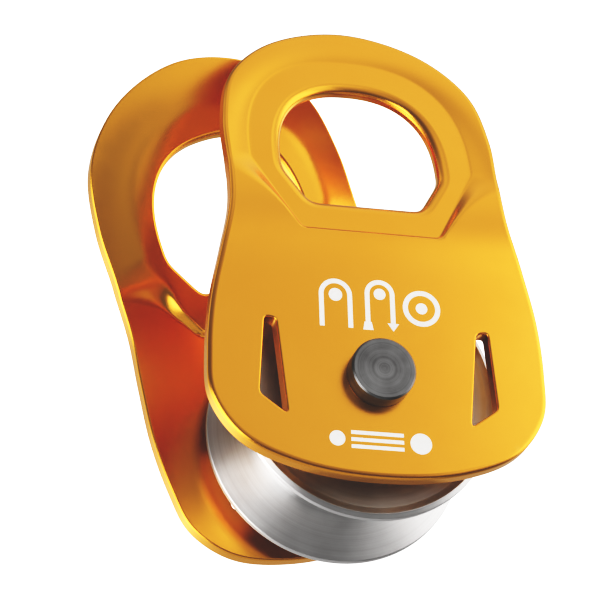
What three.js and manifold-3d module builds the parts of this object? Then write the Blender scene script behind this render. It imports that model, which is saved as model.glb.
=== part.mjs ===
// Rope pulley with two swinging side plates for arborist climbing and rigging.
// Millimetres. +Z up towards the carabiner eyes, +Y from the front plate to the rear plate.
// Origin: the centre of the axle head's flat front face, on the axle's axis.

import * as THREE from "three";
import { mergeVertices } from "three/addons/utils/BufferGeometryUtils.js";
import Module from "manifold-3d";

// --- driving dimensions -----------------------------------------------------

const HEAD_RADIUS = 4.9; // axle head
const HEAD_HEIGHT = 3.0;
const HEAD_BEVEL = 0.3;
const COLLAR_RADIUS = 5.5;
const COLLAR_HEIGHT = 2.4;
const COLLAR_BEVEL = 0.6;
const COLLAR_RECESS = 0.6; // from the collar's end in to the pin's tip
const SHANK_RADIUS = 4.0;
const PLATE_THICKNESS = 2.7;
const PLATE_GAP = 26.2; // between the inner faces of the two plates
const RUNNING_GAP = 0.08; // radial and end clearance of every moving fit

const BEND_HEIGHT = 27; // the plate bends inwards above this height
const BEND_BLEND = 3; // half of the height over which the bend turns
const BEND_SLOPE = 0.34;
const LAND_HEIGHT = 23.7; // lower edge of the pressed land round the eye
const LAND_DEPTH = 0.9; // how far that edge is pressed in
const LAND_SLOPE = 0.27;
const SKIRT_WIDTH = 2.0; // the sloping wall round the land
const SKIRT_DEPTH = 2.6;
const PLATE_BOTTOM = -16;
const PLATE_TOP = 63.2;

const REAR_SWING = 23.5; // degrees, the rear plate's stored swing about the axle

const SHEAVE_RADIUS = 20.0;
const SHEAVE_WIDTH = 19.8;
const TREAD_RADIUS = 10.5;
const GROOVE_RADIUS = 6.6; // round bottom of the rope groove
const RIM_THICKNESS = 1.4;
const RIM_BEVEL = 1.0; // along the radius
const RIM_EASING = 0.4; // along the axle
const WEB_RECESS = 0.6; // the flange's face is dished towards the hub
const HUB_RADIUS = 9;
const BUSHING_RADIUS = 6.6;
const SLEEVE_RADIUS = 5.2;
const WASHER_THICKNESS = 1.0;
const WASHER_RADIUS = 8.4;

const FINE = 72; // segments round the sheave
const COARSE = 48; // segments round the small turned pieces
const EDGE_POINTS = 84; // round the plate's edge
const ARCH_POINTS = 24; // round the arch of the eye and the land
const ARCH_POWER = 0.83; // 1 would be an ellipse
const BEYOND = 5; // how far a cutting block runs past what it cuts

// --- positions along the axle ----------------------------------------------

const FRONT_OUTER = HEAD_HEIGHT;
const FRONT_INNER = FRONT_OUTER + PLATE_THICKNESS;
const REAR_INNER = FRONT_INNER + PLATE_GAP;
const REAR_OUTER = REAR_INNER + PLATE_THICKNESS;
const MID_PLANE = (FRONT_INNER + REAR_INNER) / 2;
const HUB_WIDTH = PLATE_GAP - 2 * (WASHER_THICKNESS + 2 * RUNNING_GAP);

// --- solids -----------------------------------------------------------------

const wasm = await Module();
wasm.setup();

// A closed three.js geometry as a manifold-3d solid.
function solid(geometry) {
  const bare = geometry.clone();
  bare.deleteAttribute("normal");
  bare.deleteAttribute("uv");
  const merged = mergeVertices(bare, 1e-4);
  return new wasm.Manifold(
    new wasm.Mesh({
      numProp: 3,
      vertProperties: merged.attributes.position.array,
      triVerts: new Uint32Array(merged.index.array),
    }),
  );
}

// A manifold-3d solid as a three.js geometry.
function geometryOf(body) {
  const mesh = body.getMesh();
  const geometry = new THREE.BufferGeometry();
  geometry.setAttribute("position", new THREE.BufferAttribute(mesh.vertProperties, 3));
  geometry.setIndex(new THREE.BufferAttribute(mesh.triVerts, 1));
  geometry.computeVertexNormals();
  return geometry;
}

// A turned piece: [radius, y] points of a closed outline, spun about the axle.
function turned(outline, segments) {
  const points = outline.map(([radius, y]) => new THREE.Vector2(radius, y));
  return new THREE.LatheGeometry(points, segments);
}

// A tube between two radii and two positions along the axle.
function ring(inner, outer, from, to) {
  return turned([[inner, from], [outer, from], [outer, to], [inner, to], [inner, from]], COARSE);
}

// A shape drawn in X and Z, extruded along +Y from one position to another.
function prism(shape, from, to) {
  const geometry = new THREE.ExtrudeGeometry(shape, { depth: to - from, bevelEnabled: false });
  return geometry.rotateX(Math.PI / 2).translate(0, to, 0);
}

// --- side plate outlines, seen from the front, in X and Z ---------------------

// The right-hand half of the plate's edge, from the bottom to the top.
const PLATE_EDGE = [
  [0, PLATE_BOTTOM],
  [12, -14.7],
  [21, -10.8],
  [25.4, -4.5],
  [25.8, 2],
  [25.1, 10.5],
  [23.2, 19.5],
  [21.6, 27],
  [21.2, 35],
  [21.1, 43.5],
  [18.9, 52.7],
  [11.8, 59.9],
  [0, PLATE_TOP],
];

function plateOutline() {
  const right = PLATE_EDGE.map(([x, z]) => new THREE.Vector2(x, z));
  const left = PLATE_EDGE.slice(1, -1)
    .reverse()
    .map(([x, z]) => new THREE.Vector2(-x, z));
  const loop = new THREE.CatmullRomCurve3(
    [...right, ...left].map((p) => new THREE.Vector3(p.x, p.y, 0)),
    true,
    "centripetal",
  );
  const points = loop.getPoints(EDGE_POINTS).slice(0, -1);
  return new THREE.Shape(points.map((p) => new THREE.Vector2(p.x, p.y)));
}

// A D with a flat foot, two slanting lower sides, and an arch a little squarer than an ellipse.
function archedShape(foot, footZ, half, shoulderZ, archZ, topZ) {
  const points = [new THREE.Vector2(-foot, footZ), new THREE.Vector2(foot, footZ)];
  points.push(new THREE.Vector2(half, shoulderZ));
  for (let i = 0; i <= ARCH_POINTS; i++) {
    const turn = (Math.PI * i) / ARCH_POINTS;
    const across = Math.sign(Math.cos(turn)) * Math.abs(Math.cos(turn)) ** ARCH_POWER;
    const up = Math.sin(turn) ** ARCH_POWER;
    points.push(new THREE.Vector2(half * across, archZ + (topZ - archZ) * up));
  }
  points.push(new THREE.Vector2(-half, shoulderZ));
  return new THREE.Shape(points);
}

function eyeShape() {
  return archedShape(8.6, 29.0, 12.3, 35.2, 37, 51.2);
}

function landShape() {
  return archedShape(10.6, LAND_HEIGHT, 17.5, 36.5, 37.5, 57);
}

// One of the two tall windows beside the axle; side is +1 or -1.
function windowShape(side) {
  const corners = [
    [14.2, -6.6],
    [18.1, -3.6],
    [17.1, 7.9],
    [15.7, 7.5],
  ];
  return new THREE.Shape(corners.map(([x, z]) => new THREE.Vector2(side * x, z)));
}

// --- side plate ---------------------------------------------------------------

// How far in from the flat lower part the bent plate lies at a height.
function bendDepth(z) {
  const above = z - BEND_HEIGHT;
  if (above <= -BEND_BLEND) return 0;
  if (above >= BEND_BLEND) return BEND_SLOPE * above;
  return (BEND_SLOPE * (above + BEND_BLEND) ** 2) / (4 * BEND_BLEND);
}

// The sheet before it is cut to shape: its side view, extruded along X.
function bentSlab(thickness) {
  const bend = [-1, -0.5, 0, 0.5, 1].map((part) => BEND_HEIGHT + part * BEND_BLEND);
  const heights = [PLATE_BOTTOM - BEYOND, ...bend, PLATE_TOP + BEYOND];
  const outer = heights.map((z) => new THREE.Vector2(-z, bendDepth(z)));
  const inner = heights.map((z) => new THREE.Vector2(-z, bendDepth(z) + thickness)).reverse();
  const side = new THREE.Shape([...outer, ...inner]);
  const width = PLATE_TOP;
  const geometry = new THREE.ExtrudeGeometry(side, { depth: width, bevelEnabled: false });
  return geometry.translate(0, 0, -width / 2).rotateY(Math.PI / 2);
}

// A block with the land's outline. Its inner end lies depth further in than the land's plane,
// and from there outwards it widens as the skirt does, then runs straight on.
function landBlock(depth) {
  const block = new THREE.ExtrudeGeometry(landShape(), {
    depth: PLATE_GAP / 2,
    bevelEnabled: true,
    bevelSegments: 1,
    bevelSize: SKIRT_WIDTH,
    bevelThickness: SKIRT_DEPTH,
  });
  block.rotateX(Math.PI / 2).translate(0, -SKIRT_DEPTH, 0);
  const position = block.getAttribute("position");
  for (let i = 0; i < position.count; i++) {
    const plane = LAND_DEPTH + LAND_SLOPE * (position.getZ(i) - LAND_HEIGHT);
    position.setY(i, position.getY(i) + plane + depth);
  }
  return block;
}

// The plate with its outer face at y = 0 and its inner side towards +Y.
function sidePlate() {
  const bore = SHANK_RADIUS + RUNNING_GAP;
  const through = (shape) => solid(prism(shape, -BEYOND, PLATE_GAP));
  const behindSheet = solid(bentSlab(PLATE_GAP));
  const boss = solid(landBlock(PLATE_THICKNESS)).intersect(behindSheet);
  return solid(bentSlab(PLATE_THICKNESS))
    .add(boss)
    .intersect(through(plateOutline()))
    .subtract(solid(landBlock(0)))
    .subtract(through(eyeShape()))
    .subtract(through(windowShape(1)))
    .subtract(through(windowShape(-1)))
    .subtract(solid(new THREE.CylinderGeometry(bore, bore, PLATE_GAP, COARSE)));
}

function frontPlate() {
  return geometryOf(sidePlate()).translate(0, FRONT_OUTER, 0);
}

function rearPlate() {
  const body = sidePlate().mirror([0, 1, 0]);
  return geometryOf(body).translate(0, REAR_OUTER, 0).rotateY(THREE.MathUtils.degToRad(-REAR_SWING));
}

// --- sheave and bushing ---------------------------------------------------------

// Half of the rope groove's section, from the bottom of the groove to the rim's edge.
function grooveWall(side) {
  const centre = TREAD_RADIUS + GROOVE_RADIUS;
  const points = [];
  for (const degrees of [0, 20, 40, 60, 75]) {
    const angle = THREE.MathUtils.degToRad(degrees);
    const radius = centre - GROOVE_RADIUS * Math.cos(angle);
    points.push([radius, MID_PLANE + side * GROOVE_RADIUS * Math.sin(angle)]);
  }
  points.push([SHEAVE_RADIUS, MID_PLANE + side * (SHEAVE_WIDTH / 2 - RIM_THICKNESS)]);
  return points;
}

function sheave() {
  const front = MID_PLANE - SHEAVE_WIDTH / 2;
  const rear = MID_PLANE + SHEAVE_WIDTH / 2;
  const bore = BUSHING_RADIUS + RUNNING_GAP;
  const outline = [
    [bore, MID_PLANE - HUB_WIDTH / 2],
    [HUB_RADIUS, MID_PLANE - HUB_WIDTH / 2],
    [HUB_RADIUS + WEB_RECESS, front + WEB_RECESS],
    [SHEAVE_RADIUS - RIM_BEVEL, front],
    [SHEAVE_RADIUS, front + RIM_EASING],
    ...grooveWall(-1).reverse(),
    ...grooveWall(1).slice(1),
    [SHEAVE_RADIUS, rear - RIM_EASING],
    [SHEAVE_RADIUS - RIM_BEVEL, rear],
    [HUB_RADIUS + WEB_RECESS, rear - WEB_RECESS],
    [HUB_RADIUS, MID_PLANE + HUB_WIDTH / 2],
    [bore, MID_PLANE + HUB_WIDTH / 2],
    [bore, MID_PLANE - HUB_WIDTH / 2],
  ];
  return turned(outline, FINE);
}

function sheaveBushing() {
  const half = HUB_WIDTH / 2;
  return ring(SLEEVE_RADIUS + RUNNING_GAP, BUSHING_RADIUS, MID_PLANE - half, MID_PLANE + half);
}

// --- axle -----------------------------------------------------------------------

// The turned pin: a bevelled head in front and a shank through every other piece.
function axlePin() {
  const tip = REAR_OUTER + COLLAR_HEIGHT - COLLAR_RECESS;
  return turned(
    [
      [0, 0],
      [HEAD_RADIUS - HEAD_BEVEL, 0],
      [HEAD_RADIUS, HEAD_BEVEL],
      [HEAD_RADIUS, HEAD_HEIGHT - RUNNING_GAP],
      [SHANK_RADIUS, HEAD_HEIGHT - RUNNING_GAP],
      [SHANK_RADIUS, tip],
      [0, tip],
    ],
    COARSE,
  );
}

// The collar that closes the axle behind the rear plate.
function rearAxleCollar() {
  const start = REAR_OUTER + RUNNING_GAP;
  const end = REAR_OUTER + COLLAR_HEIGHT;
  return turned(
    [
      [SHANK_RADIUS + RUNNING_GAP, start],
      [COLLAR_RADIUS, start],
      [COLLAR_RADIUS, end - COLLAR_BEVEL],
      [COLLAR_RADIUS - COLLAR_BEVEL, end],
      [SHANK_RADIUS + RUNNING_GAP, end],
      [SHANK_RADIUS + RUNNING_GAP, start],
    ],
    COARSE,
  );
}

function axleSleeve() {
  return ring(
    SHANK_RADIUS + RUNNING_GAP,
    SLEEVE_RADIUS,
    FRONT_INNER + RUNNING_GAP,
    REAR_INNER - RUNNING_GAP,
  );
}

// A slippery ring between a plate and the sheave's hub, starting at a position along the axle.
function thrustWasher(start) {
  return ring(SLEEVE_RADIUS + RUNNING_GAP, WASHER_RADIUS, start, start + WASHER_THICKNESS);
}

// --- materials --------------------------------------------------------------------

function goldAnodised() {
  return new THREE.MeshStandardMaterial({ color: 0xe8a02c, roughness: 0.3, metalness: 0.9 });
}

function brightAluminium() {
  return new THREE.MeshStandardMaterial({ color: 0xd8dade, roughness: 0.25, metalness: 1 });
}

function darkSteel() {
  return new THREE.MeshStandardMaterial({ color: 0x6a6a6c, roughness: 0.4, metalness: 1 });
}

function brightSteel() {
  return new THREE.MeshStandardMaterial({ color: 0xa9abae, roughness: 0.35, metalness: 1 });
}

function bearingPlastic() {
  return new THREE.MeshStandardMaterial({ color: 0x4a4640, roughness: 0.6, metalness: 0 });
}

// --- assembly -----------------------------------------------------------------------

const pulley = new THREE.Group();

function place(name, geometry, material) {
  const mesh = new THREE.Mesh(geometry, material);
  mesh.name = name;
  pulley.add(mesh);
}

place("front_plate", frontPlate(), goldAnodised());
place("rear_plate", rearPlate(), goldAnodised());
place("sheave", sheave(), brightAluminium());
place("sheave_bushing", sheaveBushing(), bearingPlastic());
place("axle_pin", axlePin(), darkSteel());
place("axle_sleeve", axleSleeve(), brightSteel());
place("rear_axle_collar", rearAxleCollar(), darkSteel());
place("front_thrust_washer", thrustWasher(FRONT_INNER + RUNNING_GAP), bearingPlastic());
place(
  "rear_thrust_washer",
  thrustWasher(REAR_INNER - RUNNING_GAP - WASHER_THICKNESS),
  bearingPlastic(),
);

export default pulley;
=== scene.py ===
"""The looks of a rope pulley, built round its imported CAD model.

Metres, +Z up towards the carabiner eyes, +Y from the front plate to the rear plate, and the
axle's axis through the origin. Shapes are worked out in millimetres and scaled when a mesh is made.
"""

import math

import bpy
import numpy as np
from mathutils import Matrix, Vector
from mathutils.geometry import delaunay_2d_cdt


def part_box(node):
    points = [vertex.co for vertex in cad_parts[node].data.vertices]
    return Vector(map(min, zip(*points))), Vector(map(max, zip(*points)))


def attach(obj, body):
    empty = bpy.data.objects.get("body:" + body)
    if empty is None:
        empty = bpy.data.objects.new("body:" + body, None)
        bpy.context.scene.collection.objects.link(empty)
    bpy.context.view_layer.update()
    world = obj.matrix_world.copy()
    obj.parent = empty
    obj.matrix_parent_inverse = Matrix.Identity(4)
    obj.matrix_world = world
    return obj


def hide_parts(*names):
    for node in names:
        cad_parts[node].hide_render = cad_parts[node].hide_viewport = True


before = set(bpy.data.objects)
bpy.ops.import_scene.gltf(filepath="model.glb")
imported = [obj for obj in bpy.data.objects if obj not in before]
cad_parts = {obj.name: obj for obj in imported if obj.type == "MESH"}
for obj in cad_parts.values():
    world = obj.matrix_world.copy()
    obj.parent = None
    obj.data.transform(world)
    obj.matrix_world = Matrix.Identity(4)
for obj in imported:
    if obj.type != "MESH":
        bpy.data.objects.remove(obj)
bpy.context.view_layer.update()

MM = 0.001


def place_of(node, corner, axis):
    """One coordinate of a CAD node's box, in millimetres. corner is 0 for low and 1 for high."""
    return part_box(node)[corner][axis] / MM


# --- places along the axle, from the frame, in millimetres ----------------------------------------

FRONT_OUTER = place_of("front_plate", 0, 1)
REAR_OUTER = place_of("rear_plate", 1, 1)
MID_PLANE = (FRONT_OUTER + REAR_OUTER) / 2
SHEAVE_RADIUS = place_of("sheave", 1, 0)
HUB_FRONT = place_of("sheave", 0, 1)
HUB_REAR = place_of("sheave", 1, 1)
HEAD_RADIUS = place_of("axle_pin", 1, 0)
PIN_TIP = place_of("axle_pin", 1, 1)
COLLAR_RADIUS = place_of("rear_axle_collar", 1, 0)
COLLAR_FRONT = place_of("rear_axle_collar", 0, 1)
COLLAR_REAR = place_of("rear_axle_collar", 1, 1)
WASHER_RADIUS = place_of("front_thrust_washer", 1, 0)
BUSHING_RADIUS = place_of("sheave_bushing", 1, 0)
SLEEVE_RADIUS = place_of("axle_sleeve", 1, 0)

# --- shape of the side plates, in millimetres -----------------------------------------------------

PLATE_THICKNESS = 2.7

# How far the rear plate stands swung about the axle at rest.
REAR_SWING = math.radians(-23.5)

# Above the axle the sheet bends inwards: from what height, how gradually, and to what slope.
BEND_HEIGHT = 27
BEND_LENGTH = 12
BEND_SLOPE = 0.34

# The land is a flat pressed into the sheet round the eye: the height of its foot, how deep it
# lies there, and its slope.
LAND_HEIGHT = 23.7
LAND_DEPTH = 0.9
LAND_SLOPE = 0.27

# The wall round the land is steep at the land's foot and gentle round the top of the eye, and
# turns from one to the other between two heights. The boss's wall, on the inner face, has slopes
# and heights of its own, and is shifted inwards at the top.
WALL_STEEP = 1.7
WALL_GENTLE = 0.5
WALL_TURN = (25, 36)
INNER_STEEP = 1.2
INNER_GENTLE = 0.3
INNER_TURN = (27, 34)
INNER_SHIFT = 1.5

# How softly surfaces meet: at the land's edge, along the boss's ridge, and where a wall meets
# the sheet, low down and round the top of the eye.
CRISP = 0.22
RIDGE = 0.45
SOFT_LOW = 0.6
SOFT_HIGH = 2.6

# The right-hand half of the plate's edge as x and z, from the bottom to the top.
PLATE_EDGE = [
    (0, -16),
    (12, -14.7),
    (21, -10.8),
    (25.4, -4.5),
    (25.8, 2),
    (25.1, 10.5),
    (23.2, 19.5),
    (21.6, 27),
    (21.2, 35),
    (21.1, 43.5),
    (18.9, 52.7),
    (11.8, 59.9),
    (0, 63.2),
]
EDGE_SOFTNESS = 0.8

# The right-hand window's corners, counterclockwise.
WINDOW_CORNERS = [(14.0, -6.9), (18.1, -3.9), (17.1, 8.3), (15.4, 8.1)]
WINDOW_SOFTNESS = 0.42

# The eye and the land round it are D shapes: half widths and heights, as arched() takes them.
EYE_SHAPE = {
    "foot": 8.6,
    "foot_z": 29,
    "half": 12.3,
    "shoulder_z": 35.2,
    "arch_z": 37,
    "top_z": 51.2,
}
EYE_SOFTNESS = 0.9
LAND_SHAPE = {
    "foot": 10.6,
    "foot_z": LAND_HEIGHT,
    "half": 17.5,
    "shoulder_z": 36.5,
    "arch_z": 37.5,
    "top_z": 57,
}
LAND_SOFTNESS = 0.4

# Below 1, a D's arch is squarer than an ellipse.
ARCH_POWER = 0.83

# How each edge of the sheet is rounded: inset and depth on the outer face, radius on the inner.
OUTLINE_ROUNDS = ((0.8, 0.65), 0.35)
EYE_ROUNDS = ((1.7, 1.4), 0.6)
WINDOW_ROUNDS = ((0.3, 0.3), 0.25)
BORE_ROUNDS = ((0.3, 0.3), 0.2)

# How fine the plate's mesh is, in millimetres: the grids' steps, the band round the land's edge
# that gets the finer one, and the rings of points along that edge, where the surface creases.
COARSE_STEP = 0.8
FINE_STEP = 0.36
FINE_FROM = -1.0
FINE_TO = 5.0
CREASE = 0.45
CREASE_RINGS = (-0.3, -0.15, 0, 0.15, 0.3)
RING_STEP = 0.24
RING_STRAY = 0.04
BORDER_GAP = 0.2
SAME_POINT = 1e-5

# The steps along the land's edge and along the sheet's own edges.
LAND_STEP = 0.3
OUTLINE_STEP = 0.45
EYE_STEP = 0.35
WINDOW_STEP = 0.25
BORE_POINTS = 96

# The angles at which a sheet edge's rounding gets a row of points, on its outer and inner side.
OUTER_TURNS = (12, 26, 40, 54, 68, 80, 90)
INNER_TURNS = (90, 70, 50, 30, 12, 0)

# --- shape of the axle and the sheave, in millimetres ---------------------------------------------

# The axle's shank, and the clearance round it and between the sleeve and the bushing.
SHANK_RADIUS = 4.0
RUNNING_GAP = 0.08
BORE_RADIUS = SHANK_RADIUS + RUNNING_GAP
BUSHING_BORE = SLEEVE_RADIUS + RUNNING_GAP
HEAD_HEIGHT = FRONT_OUTER
HEAD_BEVEL = 0.28
TIP_BEVEL = 0.4
COLLAR_BEVEL = 0.5
AXLE_SEGMENTS = 160
TUBE_SEGMENTS = 128

SHEAVE_WIDTH = 19.8
TREAD_RADIUS = 10.5
GROOVE_RADIUS = 6.6
GROOVE_HALF_ANGLE = 75
GROOVE_POINTS = 61
RIM_THICKNESS = 1.4
HUB_RADIUS = 9
SHEAVE_SEGMENTS = 256

# Points on each rounded corner of a turned section.
ROUND_POINTS = 5

# --- curves and distances -------------------------------------------------------------------------


def mirrored(half):
    """A whole outline from its right-hand half: counterclockwise in x and z."""
    left = [(-x, z) for x, z in reversed(half[1:-1])]
    return np.array(half + left, float)


def evenly(loop, step):
    """A closed polyline resampled at equal steps close to the one given."""
    closed = np.vstack([loop, loop[:1]])
    along = np.concatenate([[0], np.cumsum(np.linalg.norm(np.diff(closed, axis=0), axis=1))])
    places = np.linspace(0, along[-1], max(8, round(along[-1] / step)), endpoint=False)
    return np.column_stack([np.interp(places, along, closed[:, k]) for k in range(2)])


def softened(loop, radius, step=0.1):
    """The closed polyline with its corners rounded off by averaging over about that radius."""
    fine = evenly(loop, step)
    reach = np.arange(-3 * radius, 3 * radius + step, step)
    weights = np.exp(-0.5 * (reach / radius) ** 2)
    weights /= weights.sum()
    half = len(reach) // 2
    total = np.zeros_like(fine)
    for shift, weight in zip(range(-half, half + 1), weights):
        total += weight * np.roll(fine, shift, axis=0)
    return total


def through(points, steps=24):
    """A smooth closed curve through the points: a centripetal Catmull-Rom spline."""
    curve = []
    count = len(points)
    for i in range(count):
        p = [points[(i + k) % count] for k in (-1, 0, 1, 2)]
        knots = [0.0]
        for a, b in zip(p, p[1:]):
            knots.append(knots[-1] + np.linalg.norm(b - a) ** 0.5)
        for t in np.linspace(knots[1], knots[2], steps, endpoint=False):
            level = list(p)
            for span in (1, 2, 3):
                level = [blended(level, knots, k, span, t) for k in range(len(level) - 1)]
            curve.append(level[0])
    return np.array(curve)


def blended(level, knots, k, span, t):
    """One step of the spline's pyramid, with the middle span kept for its last level."""
    low = knots[k] if span < 3 else knots[1]
    high = knots[k + span] if span < 3 else knots[2]
    share = (t - low) / (high - low)
    return (1 - share) * level[k] + share * level[k + 1]


def arched(foot, foot_z, half, shoulder_z, arch_z, top_z):
    """A D with a flat foot, two slanting lower sides, and an arch squarer than an ellipse."""
    turn = np.linspace(0, math.pi, 72)
    across = np.sign(np.cos(turn)) * np.abs(np.cos(turn)) ** ARCH_POWER
    up = np.maximum(np.sin(turn), 0) ** ARCH_POWER
    arch = np.column_stack([half * across, arch_z + (top_z - arch_z) * up])
    low = [(-half, shoulder_z), (-foot, foot_z), (foot, foot_z), (half, shoulder_z)]
    return np.vstack([low, arch])


def circle(radius, count):
    """Points round the origin, counterclockwise."""
    turn = np.linspace(0, 2 * math.pi, count, endpoint=False)
    return radius * np.column_stack([np.cos(turn), np.sin(turn)])


def left_side(loop):
    """The unit direction to the left of travel at each point of a closed polyline."""
    along = np.roll(loop, -1, axis=0) - np.roll(loop, 1, axis=0)
    along /= np.linalg.norm(along, axis=1)[:, None]
    return np.column_stack([-along[:, 1], along[:, 0]])


def signed_distance(points, loop):
    """How far each point lies outside a closed polyline; inside it is negative."""
    batches = [points[i : i + 2000] for i in range(0, len(points), 2000)]
    return np.concatenate([batch_distance(batch, loop) for batch in batches])


def batch_distance(points, start):
    """Signed distances of a few points, by every edge of the polyline and the crossing rule."""
    edge = np.roll(start, -1, axis=0) - start
    rel = points[:, None, :] - start[None, :, :]
    share = np.clip((rel * edge).sum(2) / (edge**2).sum(1), 0, 1)
    gap = np.linalg.norm(rel - share[:, :, None] * edge, axis=2).min(1)
    x, z = points[:, 0][:, None], points[:, 1][:, None]
    spans = (start[:, 1] > z) != (start[:, 1] + edge[:, 1] > z)
    rise = np.where(edge[:, 1] == 0, 1, edge[:, 1])
    crossing = x < start[:, 0] + edge[:, 0] * (z - start[:, 1]) / rise
    inside = (spans & crossing).sum(1) % 2 == 1
    return np.where(inside, -gap, gap)


def smooth_max(a, b, width):
    """The larger of two heights, blended where they differ by less than width."""
    overlap = np.maximum(width - np.abs(a - b), 0) / width
    return np.maximum(a, b) + overlap**3 * width / 6


def smooth_min(a, b, width):
    """The smaller of two heights, blended in the same way."""
    return -smooth_max(-a, -b, width)


def between(low, high, share):
    """The value a share of the way from low to high."""
    return low + (high - low) * share


def smooth_step(low, high, value):
    """0 up to low, 1 from high on, and a smooth rise between them."""
    share = np.clip((value - low) / (high - low), 0, 1)
    return share * share * (3 - 2 * share)


# --- the pressed surfaces of a side plate ---------------------------------------------------------

OUTLINE = softened(through(mirrored(PLATE_EDGE)), EDGE_SOFTNESS)
EYE = softened(arched(**EYE_SHAPE), EYE_SOFTNESS)
LAND = evenly(softened(arched(**LAND_SHAPE), LAND_SOFTNESS), LAND_STEP)


def plate_depths(points):
    """How deep the plate's outer and inner faces lie at points in x and z, from its outer plane."""
    z = points[:, 1]
    beyond = signed_distance(points, LAND)
    sheet = BEND_SLOPE * smooth_max(z - BEND_HEIGHT, 0 * z, BEND_LENGTH)
    land = LAND_DEPTH + LAND_SLOPE * (z - LAND_HEIGHT)
    up = smooth_step(*WALL_TURN, z)
    wall = land - between(WALL_STEEP, WALL_GENTLE, up) * beyond
    soft = between(SOFT_LOW, SOFT_HIGH, up)
    outer = smooth_max(sheet, smooth_min(land, wall, CRISP), soft)
    up = smooth_step(*INNER_TURN, z)
    boss = land + PLATE_THICKNESS * math.hypot(1, LAND_SLOPE)
    wall = boss - between(INNER_STEEP, INNER_GENTLE, up) * (beyond + INNER_SHIFT * up)
    soft = between(CRISP, SOFT_HIGH, up)
    inner = smooth_max(sheet + PLATE_THICKNESS, smooth_min(boss, wall, RIDGE), soft)
    return outer, inner


def plate_normals(points, face):
    """Unit normals of one face (0 outer, 1 inner) in x, y and z, by small differences."""
    reach = 0.02
    slopes = []
    for step in ((reach, 0), (0, reach)):
        ahead = plate_depths(points + step)[face]
        behind = plate_depths(points - step)[face]
        slopes.append((ahead - behind) / (2 * reach))
    side = -1 if face == 0 else 1
    normals = np.column_stack([-side * slopes[0], np.full(len(points), side), -side * slopes[1]])
    return normals / np.linalg.norm(normals, axis=1)[:, None]


def grid_points(step):
    """A staggered grid of points over the plate."""
    low, high = OUTLINE.min(0), OUTLINE.max(0)
    rows = np.arange(low[1], high[1], step * math.sqrt(0.75))
    points = []
    for i, z in enumerate(rows):
        xs = np.arange(low[0] + (i % 2) * step / 2, high[0], step)
        points.append(np.column_stack([xs, np.full(len(xs), z)]))
    return np.vstack(points)


def inner_points(borders):
    """Points inside the plate: a coarse grid, a finer one round the land, and rings at its edge."""
    coarse = grid_points(COARSE_STEP)
    beyond = signed_distance(coarse, LAND)
    coarse = coarse[(beyond < FINE_FROM) | (beyond > FINE_TO)]
    fine = grid_points(FINE_STEP)
    beyond = signed_distance(fine, LAND)
    outside = (beyond > CREASE) & (beyond < FINE_TO)
    fine = fine[outside | (beyond > FINE_FROM) & (beyond < -CREASE)]
    rings = []
    for offset in CREASE_RINGS:
        ring = evenly(LAND - offset * left_side(LAND), RING_STEP)
        strayed = np.abs(signed_distance(ring, LAND) - offset)
        rings.append(ring[strayed < RING_STRAY])
    points = np.vstack([coarse, fine, *rings])
    for i, border in enumerate(borders):
        gap = signed_distance(points, border)
        points = points[(gap < -BORDER_GAP) if i == 0 else (gap > BORDER_GAP)]
    return points


def triangles_between(points, borders):
    """Triangles over the points and the closed borders, without those outside or in a hole.
    The borders' points come first, in their own order."""
    corners = np.vstack([*borders, points])
    edges = []
    start = 0
    for border in borders:
        count = len(border)
        edges += [(start + i, start + (i + 1) % count) for i in range(count)]
        start += count
    flat = [Vector(corner) for corner in corners]
    made = delaunay_2d_cdt(flat, edges, [], 0, SAME_POINT, True)
    source = [ids[0] for ids in made[3]]
    faces = np.array([[source[i] for i in face] for face in made[2]])
    middle = corners[faces].mean(1)
    kept = signed_distance(middle, borders[0]) < 0
    for hole in borders[1:]:
        kept &= signed_distance(middle, hole) > 0
    return corners, faces[kept]


def edge_rows(border, outer_round, inner_round):
    """The plate's rounded edge along one closed border, as rows of (points, face, depth, lean).
    A row's depth is measured into the sheet from that face (0 outer, 1 inner), and lean is how
    much its normal takes from the face and from the edge. The sheet is on the border's left."""
    into = left_side(border)
    inset, drop = outer_round
    rows = []
    for turn in np.radians(OUTER_TURNS):
        lean = (inset * math.cos(turn), drop * math.sin(turn))
        points = border + into * (inset * (1 - math.sin(turn)))
        rows.append((points, 0, drop * (1 - math.cos(turn)), lean))
    for turn in np.radians(INNER_TURNS):
        lean = (math.cos(turn), math.sin(turn))
        points = border + into * (inner_round * (1 - math.sin(turn)))
        rows.append((points, 1, inner_round * (1 - math.cos(turn)), lean))
    return rows


def edge_row(border, points, face, depth, lean):
    """The vertices and unit normals of one row of a plate's rounded edge."""
    outwards = -left_side(border)
    place = plate_depths(points)[face] + (depth if face == 0 else -depth)
    tilt = plate_normals(points, face) * lean[0]
    tilt[:, 0] += outwards[:, 0] * lean[1]
    tilt[:, 2] += outwards[:, 1] * lean[1]
    vertices = np.column_stack([points[:, 0], place, points[:, 1]])
    return vertices, tilt / np.linalg.norm(tilt, axis=1)[:, None]


def plate_loops():
    """Every closed edge of the sheet, with the sheet on its left, and how it is rounded."""
    return [
        (evenly(OUTLINE, OUTLINE_STEP), *OUTLINE_ROUNDS),
        (evenly(EYE, EYE_STEP)[::-1], *EYE_ROUNDS),
        (evenly(window(1), WINDOW_STEP)[::-1], *WINDOW_ROUNDS),
        (evenly(window(-1), WINDOW_STEP)[::-1], *WINDOW_ROUNDS),
        (circle(BORE_RADIUS, BORE_POINTS)[::-1], *BORE_ROUNDS),
    ]


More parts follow.
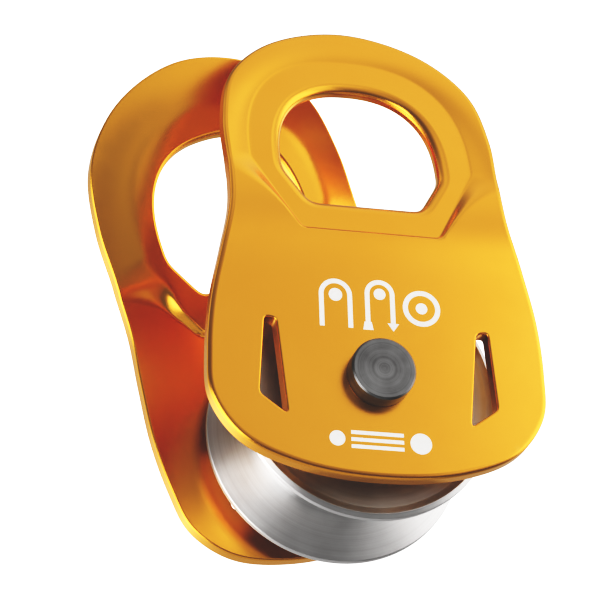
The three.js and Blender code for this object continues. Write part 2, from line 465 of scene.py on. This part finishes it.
def plate_mesh():
    """Vertices, normals and faces of a side plate: x, depth from the outer plane, and z, in mm."""
    loops = plate_loops()
    borders = [loop + left_side(loop) * outer_round[0] for loop, outer_round, _ in loops]
    flat, triangles = triangles_between(inner_points(borders), borders)
    count = len(flat)
    vertices = [np.column_stack([flat[:, 0], depth, flat[:, 1]]) for depth in plate_depths(flat)]
    normals = [plate_normals(flat, face) for face in (0, 1)]
    faces = triangles.tolist() + (triangles[:, ::-1] + count).tolist()
    total = 2 * count
    start = 0
    for loop, outer_round, inner_round in loops:
        before = np.arange(start, start + len(loop))
        last = before + count
        start += len(loop)
        for row in edge_rows(loop, outer_round, inner_round):
            places, tilts = edge_row(loop, *row)
            vertices.append(places)
            normals.append(tilts)
            now = np.arange(total, total + len(loop))
            faces += strip(before, now)
            total += len(loop)
            before = now
        faces += strip(before, last)
    return np.vstack(vertices), np.vstack(normals), faces


def strip(first, second):
    """Four-cornered faces between two closed rows of vertex numbers."""
    return np.column_stack([first, second, np.roll(second, -1), np.roll(first, -1)]).tolist()


def window(side):
    """The rounded outline of one of the tall windows beside the axle, counterclockwise."""
    corners = np.array(WINDOW_CORNERS) * (side, 1)
    return softened(corners if side > 0 else corners[::-1], WINDOW_SOFTNESS)


# --- making objects -------------------------------------------------------------------------------


def piece(name, vertices, normals, faces, material, body):
    """A smooth mesh object that rides on a body. Vertices are in millimetres."""
    mesh = bpy.data.meshes.new(name)
    mesh.from_pydata((np.asarray(vertices) * MM).tolist(), [], faces)
    mesh.materials.append(material)
    mesh.shade_smooth()
    if normals is not None:
        mesh.normals_split_custom_set_from_vertices(np.asarray(normals).tolist())
    made = bpy.data.objects.new(name, mesh)
    bpy.context.scene.collection.objects.link(made)
    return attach(made, body)


def make_plate(name, node, body, material, rear):
    """A side plate in its place: the front one as it is, the rear one mirrored and swung."""
    vertices, normals, faces = PLATE[0].copy(), PLATE[1].copy(), PLATE[2]
    if rear:
        vertices[:, 1] = REAR_OUTER - vertices[:, 1]
        normals[:, 1] *= -1
        faces = [face[::-1] for face in faces]
        swing = np.array(Matrix.Rotation(REAR_SWING, 3, "Y"))
        vertices, normals = vertices @ swing.T, normals @ swing.T
    else:
        vertices[:, 1] += FRONT_OUTER
    made = piece(name, vertices, normals, faces, material, body)
    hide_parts(node)


def profile(corners, closed):
    """Points and normals of a turned outline. Corners are (radius, y, rounding); a rounding of 0
    is a point on a smooth curve. The outline has the material on its left."""
    places = [np.array(corner[:2], float) for corner in corners]
    points, normals = [], []
    for i, (here, (_, _, rounding)) in enumerate(zip(places, corners)):
        first, last = (i == 0 and not closed), (i == len(places) - 1 and not closed)
        back = here - places[i - 1]
        ahead = places[(i + 1) % len(places)] - here
        back = unit(ahead if first else back)
        ahead = back if last else unit(ahead)
        turns = [right_of(back), right_of(ahead)]
        if first or last or not rounding:
            points.append(here)
            normals.append(unit(turns[0] + turns[1]))
            continue
        angle = math.acos(float(np.clip(back @ ahead, -1, 1)))
        reach = rounding * math.tan(angle / 2)
        side = 1 if back[0] * ahead[1] - back[1] * ahead[0] > 0 else -1
        centre = here - back * reach - side * turns[0] * rounding
        for share in np.linspace(0, 1, ROUND_POINTS):
            normal = unit(between(turns[0], turns[1], share))
            points.append(centre + side * normal * rounding)
            normals.append(normal)
    return np.array(points), np.array(normals)


def right_of(direction):
    """The direction turned a quarter turn to the right."""
    return np.array([direction[1], -direction[0]])


def unit(vector):
    return vector / np.linalg.norm(vector)


def make_turned(name, node, body, material, outline, segments):
    """A piece turned about the axle from its section. A section that starts and ends on the
    axis is left open there; any other is closed on itself."""
    closed = outline[0][0] > 0
    points, slopes = profile(outline, closed)
    turn = np.linspace(0, 2 * math.pi, segments, endpoint=False)
    vertices, normals, rows = [], [], []
    for (radius, y), (out, along) in zip(points, slopes):
        angles = turn if radius > 0 else turn[:1]
        rows.append(len(vertices) + np.arange(segments) % len(angles))
        vertices += [(radius * math.cos(a), y, radius * math.sin(a)) for a in angles]
        normals += [(out * math.cos(a), along, out * math.sin(a)) for a in angles]
    pairs = list(zip(rows, rows[1:])) + ([(rows[-1], rows[0])] if closed else [])
    faces = [list(dict.fromkeys(face)) for pair in pairs for face in strip(*pair)]
    made = piece(name, vertices, normals, faces, material, body)
    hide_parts(node)


def tube_outline(node, inner, outer, rounding):
    """The section of a tube that runs along the axle as far as its CAD node does."""
    start, end = (place_of(node, corner, 1) for corner in (0, 1))
    return [
        (inner, start, rounding),
        (outer, start, rounding),
        (outer, end, rounding),
        (inner, end, rounding),
    ]


def sheave_outline():
    """The sheave's section, from its bore round by the front face, the groove and the rear face."""
    bore = BUSHING_RADIUS + RUNNING_GAP
    corners = [(bore, HUB_REAR, 0.3), (bore, HUB_FRONT, 0.3)]
    corners += flange(-1)
    corners += [(radius, MID_PLANE + y, 0) for radius, y in groove()]
    corners += flange(1)[::-1]
    return corners


def flange(side):
    """One side of the sheave from its hub's end out to the rim and in to the groove's lip."""
    half = SHEAVE_WIDTH / 2
    step, dish, rim_face, rim_bevel = 0.6, 0.25, 1.7, (0.7, 0.45)
    places = [
        (HUB_RADIUS, HUB_REAR - MID_PLANE, 0.3),
        (HUB_RADIUS + step, half - step, 0.5),
        (SHEAVE_RADIUS - rim_face, half - dish, 0.3),
        (SHEAVE_RADIUS - rim_bevel[0], half, 0.15),
        (SHEAVE_RADIUS, half - rim_bevel[1], 0.15),
        (SHEAVE_RADIUS, half - RIM_THICKNESS, 0.3),
    ]
    return [(radius, MID_PLANE + side * y, rounding) for radius, y, rounding in places]


def groove():
    """The rope groove from the front wall to the rear wall: radius and distance from the middle."""
    centre = TREAD_RADIUS + GROOVE_RADIUS
    turns = np.radians(np.linspace(-GROOVE_HALF_ANGLE, GROOVE_HALF_ANGLE, GROOVE_POINTS))
    return [(centre - GROOVE_RADIUS * math.cos(t), GROOVE_RADIUS * math.sin(t)) for t in turns]


def pin_outline():
    """The axle pin's section, from its head's flat front face, along the shank, to its rear tip."""
    under_head = HEAD_HEIGHT - RUNNING_GAP
    return [
        (0, 0, 0),
        (HEAD_RADIUS - HEAD_BEVEL, 0, 0.1),
        (HEAD_RADIUS, HEAD_BEVEL, 0.12),
        (HEAD_RADIUS, under_head, 0.12),
        (SHANK_RADIUS, under_head, 0.05),
        (SHANK_RADIUS, PIN_TIP - TIP_BEVEL, 0.1),
        (SHANK_RADIUS - TIP_BEVEL, PIN_TIP, 0.1),
        (0, PIN_TIP, 0),
    ]


def collar_outline():
    """The rear collar's section, with its outer end bevelled."""
    return [
        (BORE_RADIUS, COLLAR_FRONT, 0.1),
        (COLLAR_RADIUS, COLLAR_FRONT, 0.1),
        (COLLAR_RADIUS, COLLAR_REAR - COLLAR_BEVEL, 0.12),
        (COLLAR_RADIUS - COLLAR_BEVEL, COLLAR_REAR, 0.12),
        (BORE_RADIUS, COLLAR_REAR, 0.15),
    ]


# --- materials ------------------------------------------------------------------------------------

MICRON = 1e-6


class Nodes:
    """The node tree of a material or a world, with short ways to add nodes and join them."""

    def __init__(self, owner):
        owner.use_nodes = True
        self.tree = owner.node_tree

    def add(self, kind, inputs=None, **settings):
        node = self.tree.nodes.new(kind)
        for key, value in settings.items():
            setattr(node, key, value)
        for key, value in (inputs or {}).items():
            self.feed(value, node.inputs[key])
        return node

    def feed(self, value, socket):
        """Joins another node's output to a socket, or sets the socket's own value."""
        if isinstance(value, bpy.types.NodeSocket):
            self.tree.links.new(value, socket)
        else:
            socket.default_value = value

    def math(self, operation, first, second=0.0):
        node = self.add("ShaderNodeMath", {0: first, 1: second}, operation=operation)
        return node.outputs[0]


class Finish(Nodes):
    """A new material's nodes, with the textures and values that the finishes are made of."""

    def __init__(self, name):
        self.material = bpy.data.materials.new(name)
        super().__init__(self.material)
        self.surface = self.tree.nodes["Principled BSDF"]
        self.place = self.add("ShaderNodeTexCoord").outputs["Object"]

    def noise(self, scale, detail=3.0, where=None):
        """Grains of about 1/scale metres, as a value around 0.5."""
        inputs = {"Vector": where or self.place, "Scale": scale, "Detail": detail}
        return self.add("ShaderNodeTexNoise", inputs).outputs[0]

    def stretched(self, scale):
        """The place in the object, scaled differently along each axis."""
        node = self.add("ShaderNodeMapping", {"Vector": self.place, "Scale": scale})
        return node.outputs["Vector"]

    def ranged(self, value, low, high, start=0.3, end=0.7):
        """A value from start to end mapped to the range from low to high, and held there."""
        inputs = {"Value": value, 1: start, 2: end, 3: low, 4: high}
        return self.add("ShaderNodeMapRange", inputs).outputs[0]

    def mixed(self, share, first, second):
        """A colour between the first, at a share of 0, and the second, at 1."""
        node = self.add("ShaderNodeMix", {"Factor": share}, data_type="RGBA")
        self.feed(first, node.inputs[6])
        self.feed(second, node.inputs[7])
        return node.outputs[2]

    def rings(self, scale):
        """Noise that is the same all round the axle: fine turning marks."""
        parts = self.add("ShaderNodeSeparateXYZ", {0: self.place}).outputs
        square = self.math("ADD", self.math("POWER", parts[0], 2), self.math("POWER", parts[2], 2))
        radius = self.math("SQRT", square)
        where = self.add("ShaderNodeCombineXYZ", {0: radius, 1: parts[1]}).outputs[0]
        return self.noise(scale, 2.0, where)

    def bumped(self, height, distance, normal=None):
        """A normal for relief that is a distance in metres deep, on top of another normal."""
        inputs = {"Height": height, "Distance": distance, "Strength": 1.0}
        node = self.add("ShaderNodeBump", inputs)
        if normal is not None:
            self.feed(normal, node.inputs["Normal"])
        return node.outputs[0]

    def painted_edge_highlight(self, start, end):
        """How sharp an outward edge is here, from 0 to 1: where a painted highlight lightens the
        edge.
        """
        edge = self.add("ShaderNodeNewGeometry").outputs["Pointiness"]
        return self.ranged(edge, 0, 1, start, end)

    def finish(self, **inputs):
        """Sets the surface's inputs, with _ for a space in their names, and gives the material."""
        for key, value in inputs.items():
            self.feed(value, self.surface.inputs[key.replace("_", " ")])
        return self.material


def gold_anodised():
    """Satin aluminium under clear gold anodising: a little deeper in patches, faintly rubbed, and
    lightened at sharp edges by a painted highlight.
    """
    nodes = Finish("gold_anodised_aluminium")
    patches = nodes.ranged(nodes.noise(70), 0, 1)
    gold = nodes.mixed(patches, (0.93, 0.445, 0.065, 1), (0.95, 0.465, 0.075, 1))
    # A painted highlight: sharp outward edges are mixed towards a lighter gold.
    painted_edge_highlight = nodes.math("MULTIPLY", nodes.painted_edge_highlight(0.56, 0.75), 0.3)
    gold = nodes.mixed(painted_edge_highlight, gold, (1.0, 0.62, 0.22, 1))
    streaks = nodes.noise(1.0, detail=5.0, where=nodes.stretched((90, 90, 1500)))
    rubbed = nodes.ranged(streaks, 0, 0.008, start=0.55, end=0.7)
    rough = nodes.math("ADD", nodes.ranged(nodes.noise(300), 0.21, 0.24), rubbed)
    grain = nodes.bumped(nodes.noise(6000, detail=2.0), 1 * MICRON)
    return nodes.finish(Base_Color=gold, Metallic=1.0, Roughness=rough, Normal=grain)


def turned_metal(name, dark, light, smooth, rough, mark, anisotropy):
    """Bare metal from the lathe: fine rings, brushed round the axle, with a few dull patches.
    It is a grey between dark and light, a roughness between smooth and rough, and marks so many
    microns deep."""
    nodes = Finish(name)
    rings = nodes.rings(9000)
    broad = nodes.rings(1300)
    patches = nodes.noise(220)
    marks = nodes.math("ADD", nodes.math("ADD", rings, broad), patches)
    dark = (dark, 0.98 * dark, 0.97 * dark, 1)
    light = (light, 0.99 * light, 0.98 * light, 1)
    colour = nodes.mixed(nodes.ranged(marks, 0, 1, start=1.25, end=1.75), dark, light)
    dulled = nodes.ranged(patches, 0, 0.04)
    roughness = nodes.math("ADD", nodes.ranged(broad, smooth, rough), dulled)
    relief = nodes.bumped(rings, mark * MICRON)
    relief = nodes.bumped(broad, mark * MICRON, relief)
    tangent = nodes.add("ShaderNodeTangent", direction_type="RADIAL", axis="Y").outputs[0]
    return nodes.finish(
        Base_Color=colour,
        Metallic=1.0,
        Roughness=roughness,
        Anisotropic=anisotropy,
        Anisotropic_Rotation=0.25,
        Tangent=tangent,
        Normal=relief,
    )


def bearing_polymer():
    """Dark self-lubricating plastic with a faint mottle."""
    nodes = Finish("bearing_polymer")
    mottle = nodes.ranged(nodes.noise(700), 0, 1)
    colour = nodes.mixed(mottle, (0.045, 0.04, 0.034, 1), (0.09, 0.08, 0.07, 1))
    rough = nodes.ranged(nodes.noise(900), 0.45, 0.65)
    grain = nodes.bumped(nodes.noise(2500, detail=4.0), 10 * MICRON)
    return nodes.finish(Base_Color=colour, Roughness=rough, Normal=grain)


def white_print():
    """Thin white ink that takes up a little of the metal's grain, with a faint painted glow that
    keeps it white in shadow.
    """
    nodes = Finish("white_print")
    blotches = nodes.ranged(nodes.noise(1500), 0, 1)
    colour = nodes.mixed(blotches, (0.86, 0.85, 0.82, 1), (0.93, 0.92, 0.9, 1))
    grain = nodes.bumped(nodes.noise(5200, detail=2.0), 4 * MICRON)
    rough = nodes.ranged(nodes.noise(800), 0.4, 0.55)
    # Painted light: a faint emission makes the ink glow, so that it stays white in shadow.
    painted_glow = {"Emission_Color": (1, 0.98, 0.94, 1), "Emission_Strength": 0.3}
    return nodes.finish(Base_Color=colour, Roughness=rough, Normal=grain, **painted_glow)


# --- the pulley -----------------------------------------------------------------------------------

PLATE = plate_mesh()
GOLD = gold_anodised()
INK = white_print()
FINISHES = {
    "turned_aluminium": turned_metal(
        "turned_aluminium", dark=0.68, light=0.78, smooth=0.3, rough=0.36, mark=1, anisotropy=0.8
    ),
    "dark_steel": turned_metal(
        "dark_steel", dark=0.16, light=0.3, smooth=0.28, rough=0.38, mark=4, anisotropy=0.3
    ),
    "ground_steel": turned_metal(
        "ground_steel", dark=0.4, light=0.5, smooth=0.25, rough=0.35, mark=2, anisotropy=0.4
    ),
    "bearing_polymer": bearing_polymer(),
}

make_plate("front_plate_shell", "front_plate", "front_side_plate", GOLD, rear=False)
make_plate("rear_plate_shell", "rear_plate", "rear_side_plate", GOLD, rear=True)


def build_turned():
    """Every turned piece, each in the place of its CAD node."""
    turned = [
        ("sheave", "sheave_wheel", "turned_aluminium", sheave_outline(), SHEAVE_SEGMENTS),
        ("axle_pin", "axle", "dark_steel", pin_outline(), AXLE_SEGMENTS),
        ("rear_axle_collar", "axle", "dark_steel", collar_outline(), AXLE_SEGMENTS),
    ]
    tubes = [
        ("axle_sleeve", "axle", "ground_steel", BORE_RADIUS, SLEEVE_RADIUS, 0.2),
        ("sheave_bushing", "sheave_wheel", "bearing_polymer", BUSHING_BORE, BUSHING_RADIUS, 0.2),
        ("front_thrust_washer", "axle", "bearing_polymer", BUSHING_BORE, WASHER_RADIUS, 0.15),
        ("rear_thrust_washer", "axle", "bearing_polymer", BUSHING_BORE, WASHER_RADIUS, 0.15),
    ]
    for node, body, slot, inner, outer, rounding in tubes:
        outline = tube_outline(node, inner, outer, rounding)
        turned.append((node, body, slot, outline, TUBE_SEGMENTS))
    for node, body, slot, outline, segments in turned:
        make_turned(node + "_turned", node, body, FINISHES[slot], outline, segments)


build_turned()

# --- prints on the front plate --------------------------------------------------------------------

# In millimetres: how far the ink stands out and how far it is sunk in, and a line's width.
INK_THICKNESS = 0.03
INK_SUNK = 0.01
LINE = 0.75

# A rope's leg is this far from its wheel's middle, as a share of the icon's size.
LEG_SPREAD = 0.42


def ink_piece(name, shapes):
    """Thin printed shapes on the front plate's flat face. Each is a closed outline in x and z."""
    vertices, faces = [], []
    for outline in shapes:
        count = len(outline)
        start = len(vertices)
        for y in (FRONT_OUTER - INK_THICKNESS, FRONT_OUTER + INK_SUNK):
            vertices += [(x, y, z) for x, z in outline]
        front = np.arange(start, start + count)
        faces.append(front.tolist())
        faces.append((front[::-1] + count).tolist())
        faces += strip(front, front + count)
    made = piece(name, vertices, None, faces, INK, "front_side_plate")
    made.data.shade_flat()


def dot(x, z, radius):
    """A filled disc."""
    return circle(radius, 40) + (x, z)


def stroke(points, width=LINE):
    """The counterclockwise outline of a drawn line with square ends."""
    line = np.array(points, float)
    along = np.gradient(line, axis=0)
    along /= np.linalg.norm(along, axis=1)[:, None]
    side = np.column_stack([-along[:, 1], along[:, 0]]) * width / 2
    return np.vstack([line - side, (line + side)[::-1]])


def ring_shape(x, z, outer, inner):
    """A ring cut open by a hair at its top, so that its outline is one closed line."""
    hair = 0.1
    line = curve(x, z, (outer + inner) / 2, 90 + hair, 450 - hair, 60)
    return stroke(line, outer - inner)


def curve(x, z, radius, start, end, count=28):
    """Points on a circle between two angles in degrees."""
    turn = np.radians(np.linspace(start, end, count))
    return np.column_stack([x + radius * np.cos(turn), z + radius * np.sin(turn)])


def rope_icon(x, z, size):
    """A rope over a wheel, with both of its legs hanging down."""
    reach = LEG_SPREAD * size
    left = [(x - reach, z - size), (x - reach, z)]
    right = [(x + reach, z), (x + reach, z - size)]
    rope = stroke(np.vstack([left, curve(x, z, reach, 180, 0)[1:-1], right]))
    return [rope, dot(x, z, 0.2 * size)]


def loaded_icon(x, z, size):
    """A rope over a wheel with a weight on one leg and an arrow on the other."""
    reach = LEG_SPREAD * size
    weight = np.array([(-0.8, -1.3), (0.8, -1.3), (0.55, 0), (-0.55, 0)])
    arrow = np.array([(0, -1.3), (0.9, 0), (-0.9, 0)])
    ends = [weight + (x - reach, z - size), arrow + (x + reach, z - size)]
    return rope_icon(x, z, size) + ends


def wheel_icon(x, z, radius):
    """A plain wheel with its hub."""
    return [ring_shape(x, z, radius, radius - 0.8), dot(x, z, 0.9)]


def lower_marks(z):
    """A row made of a dot, three bars and a larger dot."""
    bars = [stroke([(-4.6, z + rise), (3.4, z + rise)], 0.6) for rise in (1.1, 0, -1.1)]
    return [dot(-6.7, z, 1.2), *bars, dot(6.0, z, 1.65)]


def print_marks():
    """Generic pictograms above the axle and a row of plain shapes below it."""
    ink_piece("ink_rope_icon", rope_icon(-6.2, 12.6, 5.2))
    ink_piece("ink_load_icon", loaded_icon(0.6, 13.2, 4.6))
    ink_piece("ink_wheel_icon", wheel_icon(7.0, 11.4, 2.9))
    ink_piece("ink_lower_bars", lower_marks(-10.3))


print_marks()

# --- the floor, the light and the camera ----------------------------------------------------------

# Where the lights face, and the floor's size and height, in metres.
CENTRE = Vector((0, MID_PLANE, 15)) * MM
FLOOR_RADIUS = 0.4
FLOOR_HEIGHT = -0.7

# The world's strength to the camera, and its even level to everything else.
BACKDROP = 2.0
AMBIENT = 0.13

# The bright lobes round the pulley: azimuth and elevation in degrees, sharpness and strength.
LOBES = [
    (-140, -8, 16, 2.2),
    (-105, -25, 8, 2.6),
    (175, 25, 6, 0.45),
    (-120, 30, 40, 0.8),
    (-100, 50, 40, 0.7),
    (180, -35, 3, 0.38),
    (110, 10, 10, 1.7),
    (90, 60, 12, 0.9),
    (40, 50, 40, 0.65),
    (-30, 60, 12, 0.55),
    (20, 30, 40, 0.55),
    (0, 0, 12, 0.32),
    (0, 90, 40, 0.5),
]

# Rectangular lights: azimuth and elevation in degrees, distance, width and height, and radiance.
SOFTBOXES = [
    ("side_light", 68, 10, 0.25, 0.25, 0.35, 0.7),
    ("key_light", 50, 10, 0.35, 0.35, 0.35, 0.45),
    ("low_key_light", 56, 0, 0.25, 0.35, 0.35, 0.42),
    ("front_light", 20, 40, 0.25, 0.35, 0.35, 0.15),
    ("low_left_light", -60, -25, 0.25, 0.16, 0.2, 2.4),
]

# The camera's lens and sensor in millimetres, its place in metres, and the direction from which
# it looks, in degrees.
LENS = 243.6
SENSOR_WIDTH = 36
CAMERA_PLACE = (-0.15990, -0.52053, -0.23359)
VIEW_AZIMUTH = -15.811
VIEW_ELEVATION = -24.224
VIEW_ROLL = -1.911

# The levels of light at which the picture's contrast curve is set.
TONE_LEVELS = (0, 0.08, 0.2, 0.35, 0.55, 0.8, 1.1, 1.4)


def toward(azimuth, elevation):
    """A direction from its angles in degrees: azimuth 0 is the front (-Y) and 90 is the right."""
    around, up = math.radians(azimuth), math.radians(elevation)
    level = math.cos(up)
    return Vector((math.sin(around) * level, -math.cos(around) * level, math.sin(up)))


def softbox(name, azimuth, elevation, distance, width, height, radiance):
    """An even rectangular light that faces the pulley, hidden from the camera."""
    data = bpy.data.lights.new(name, "AREA")
    data.shape = "RECTANGLE"
    data.size, data.size_y = width, height
    data.energy = radiance * math.pi * width * height
    made = bpy.data.objects.new(name, data)
    bpy.context.scene.collection.objects.link(made)
    away = toward(azimuth, elevation)
    made.location = CENTRE + away * distance
    made.rotation_euler = away.to_track_quat("Z", "Y").to_euler()
    made.visible_camera = False


def light_world():
    """A world that is white to the camera and an even level with soft bright lobes to the metal."""
    world = bpy.data.worlds.new("studio")
    bpy.context.scene.world = world
    nodes = Nodes(world)
    nodes.tree.nodes.clear()
    direction = nodes.add("ShaderNodeTexCoord").outputs["Generated"]
    level = AMBIENT
    for azimuth, elevation, sharpness, strength in LOBES:
        inputs = {0: direction, 1: toward(azimuth, elevation)}
        facing = nodes.add("ShaderNodeVectorMath", inputs, operation="DOT_PRODUCT")
        towards = nodes.math("MAXIMUM", facing.outputs["Value"], 0.0)
        lobe = nodes.math("POWER", towards, sharpness)
        level = nodes.math("ADD", nodes.math("MULTIPLY", lobe, strength), level)
    seen = nodes.add("ShaderNodeLightPath").outputs["Is Camera Ray"]
    unseen = nodes.math("MULTIPLY", nodes.math("SUBTRACT", 1.0, seen), level)
    level = nodes.math("ADD", unseen, nodes.math("MULTIPLY", seen, BACKDROP))
    background = nodes.add("ShaderNodeBackground", {"Color": (1, 1, 1, 1), "Strength": level})
    nodes.add("ShaderNodeOutputWorld", {"Surface": background.outputs[0]})


def lay_floor():
    """A wide pale disc well below the pulley, which hangs free, and below the camera."""
    nodes = Finish("pale_floor")
    colour = nodes.mixed(nodes.noise(3), (0.8, 0.8, 0.8, 1), (0.84, 0.84, 0.84, 1))
    mesh = bpy.data.meshes.new("floor")
    rim = [(x, y, FLOOR_HEIGHT) for x, y in circle(FLOOR_RADIUS, 96)]
    mesh.from_pydata(rim, [], [list(range(len(rim)))])
    mesh.materials.append(nodes.finish(Base_Color=colour, Roughness=0.9))
    floor = bpy.data.objects.new("floor", mesh)
    bpy.context.scene.collection.objects.link(floor)


def set_camera():
    """The photo's view: from in front, to the left and below, through a long lens."""
    data = bpy.data.cameras.new("camera")
    data.lens = LENS
    data.sensor_width = SENSOR_WIDTH
    data.clip_start = 0.01
    camera = bpy.data.objects.new("camera", data)
    bpy.context.scene.collection.objects.link(camera)
    level = toward(VIEW_AZIMUTH, VIEW_ELEVATION).to_track_quat("Z", "Y").to_matrix()
    turn = level @ Matrix.Rotation(math.radians(VIEW_ROLL), 3, "Z")
    camera.matrix_world = Matrix.Translation(CAMERA_PLACE) @ turn.to_4x4()
    bpy.context.scene.camera = camera


def tone(light):
    """The picture's brightness for a level of light: soft highlights and slightly lifted blacks."""
    black, white, middle = 0.014, 1.15, 0.281
    return black + white * light**2 / (light**2 + middle)


def set_tones():
    """A fixed contrast curve, as a product photograph has."""
    settings = bpy.context.scene.view_settings
    settings.view_transform = "Standard"
    settings.use_curve_mapping = True
    mapping = settings.curve_mapping
    mapping.use_clip = False
    mapping.clip_max_x = 2.0
    mapping.clip_max_y = 2.0
    combined = mapping.curves[3]
    first, *middle, last = TONE_LEVELS
    combined.points[0].location = (first, tone(first))
    combined.points[1].location = (last, tone(last))
    for light in middle:
        combined.points.new(light, tone(light))
    mapping.update()


lay_floor()
light_world()
for name, *settings in SOFTBOXES:
    softbox(name, *settings)
set_camera()
set_tones()
